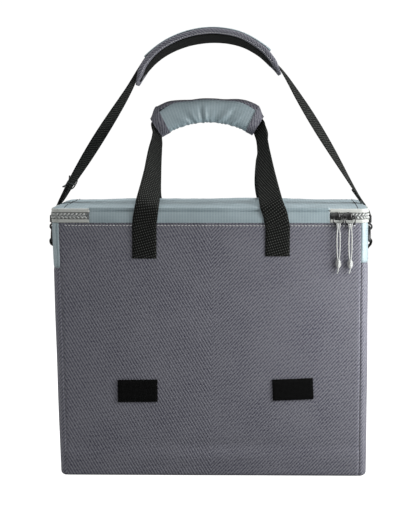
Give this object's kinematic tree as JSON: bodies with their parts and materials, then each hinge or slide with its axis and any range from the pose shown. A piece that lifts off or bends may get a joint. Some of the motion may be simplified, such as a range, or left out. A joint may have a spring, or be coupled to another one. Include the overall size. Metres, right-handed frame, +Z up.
{
  "type": "insulated cooler bag",
  "caption": "Soft box-shaped insulated bag with a zipped hinged lid, joined carry handles under a padded wrap, and a padded shoulder strap on side rings",
  "frame": {"origin": "on the floor under the centre of the base", "axes": "+Z up; -Y is the hinge side, with the hook patches and both zip ends; X runs across the width"},
  "size_m": [0.4117, 0.2639, 0.5535],
  "materials": {
    "twill": "dark grey coarse twill, matte",
    "ripstop": "light blue-grey ripstop with a slight sheen",
    "webbing": "black herringbone webbing",
    "zip_tape": "warm light grey woven tape",
    "zip_chain": "moulded coil, light grey",
    "slider": "black enamel",
    "cord": "light grey braided polyester cord",
    "plastic": "black moulded",
    "foam": "white closed-cell foam board",
    "liner": "silver-grey wipe-clean film",
    "hook_tape": "black hook tape"
  },
  "bodies": {
    "bag": {"rear_panel": "twill", "front_panel": "twill", "bottom_panel": "twill", "foam_rear": "foam", "foam_front": "foam", "foam_bottom": "foam", "foam_left": "foam", "foam_right": "foam", "liner_tub": "liner", "zip_tape_lower": "zip_tape", "zip_chain_lower": "zip_chain", "hinge_band": "ripstop", "hook_patch_left": "hook_tape", "hook_patch_right": "hook_tape", "gusset_left_lower": "twill", "gusset_left_upper": "ripstop", "gusset_right_lower": "twill", "gusset_right_upper": "ripstop", "strap_tab_left": "webbing", "strap_tab_right": "webbing", "d_ring_left": "plastic", "d_ring_right": "plastic", "near_sewn_left": "webbing", "near_sewn_right": "webbing", "far_sewn_left": "webbing", "far_sewn_right": "webbing"},
    "lid": {"lid_panel": "ripstop", "lid_foam": "foam", "lid_liner": "liner", "zip_chain_upper": "zip_chain", "zip_tape_upper": "zip_tape"},
    "near_loop": {"near_handle": "webbing", "grip_wrap": "ripstop"},
    "flap": {"grip_flap": "twill"},
    "far_loop": {"far_handle": "webbing"},
    "strap": {"snap_hook_left": "plastic", "snap_hook_right": "plastic", "strap_loop_left": "webbing", "strap_loop_right": "webbing", "strap_leg_left": "webbing", "strap_leg_right": "webbing", "shoulder_pad": "twill", "pad_lining": "webbing", "strap_adjuster": "plastic"},
    "zip_slider_1": {"slider_1": "slider"},
    "zip_slider_2": {"slider_2": "slider"},
    "pull_1": {"pull_ring_1": "slider", "pull_cord_1": "cord", "pull_knot_1": "cord"},
    "pull_2": {"pull_ring_2": "slider", "pull_cord_2": "cord", "pull_knot_2": "cord"}
  },
  "joints": [
    {"name": "lid_open", "type": "hinge", "parent": "bag", "child": "lid", "pos_m": [0, -0.133, 0.3155], "axis": [1, 0, 0], "range_deg": [0, 100], "deforming": ["hinge_band", "far_handle", "strap_leg_left", "strap_leg_right", "strap_loop_left", "strap_loop_right", "shoulder_pad", "pad_lining", "strap_adjuster"]},
    {"name": "near_handle_fold", "type": "hinge", "parent": "bag", "child": "near_loop", "pos_m": [0, -0.1303, 0.311], "axis": [1, 0, 0], "range_deg": [0, 185]},
    {"name": "far_handle_fold", "type": "hinge", "parent": "bag", "child": "far_loop", "pos_m": [0, 0.1303, 0.311], "axis": [1, 0, 0], "range_deg": [-185, 0]},
    {"name": "grip_flap_open", "type": "hinge", "parent": "near_loop", "child": "flap", "pos_m": [0, 0, 0.4115], "axis": [1, 0, 0], "range_deg": [-125, 0]},
    {"name": "strap_swing", "type": "hinge", "parent": "bag", "child": "strap", "pos_m": [0, 0, 0.288], "axis": [1, 0, 0], "range_deg": [-20, 20]},
    {"name": "slider_2_slide", "type": "slide", "parent": "lid", "child": "zip_slider_2", "axis": [1, 0, 0], "range_m": [0, 0.01]},
    {"name": "slider_1_slide", "type": "slide", "parent": "lid", "child": "zip_slider_1", "axis": [1, 0, 0], "range_m": [0, 0.01]},
    {"name": "pull_1_swing", "type": "hinge", "parent": "zip_slider_1", "child": "pull_1", "pos_m": [0.1558, -0.1294, 0.3215], "axis": [1, 0, 0], "range_deg": [-105, 0]},
    {"name": "pull_2_swing", "type": "hinge", "parent": "zip_slider_2", "child": "pull_2", "pos_m": [0.1703, -0.1294, 0.3215], "axis": [1, 0, 0], "range_deg": [-105, 0]}
  ],
  "couplings": [
    {"joint": "near_handle_fold", "follows": "lid_open", "ratio": 1.8},
    {"joint": "far_handle_fold", "follows": "lid_open", "ratio": -1.8},
    {"joint": "grip_flap_open", "follows": "lid_open", "ratio": -1.2},
    {"joint": "pull_1_swing", "follows": "lid_open", "ratio": -1},
    {"joint": "pull_2_swing", "follows": "lid_open", "ratio": -1},
    {"joint": "slider_1_slide", "follows": "slider_2_slide", "ratio": 0.9}
  ]
}
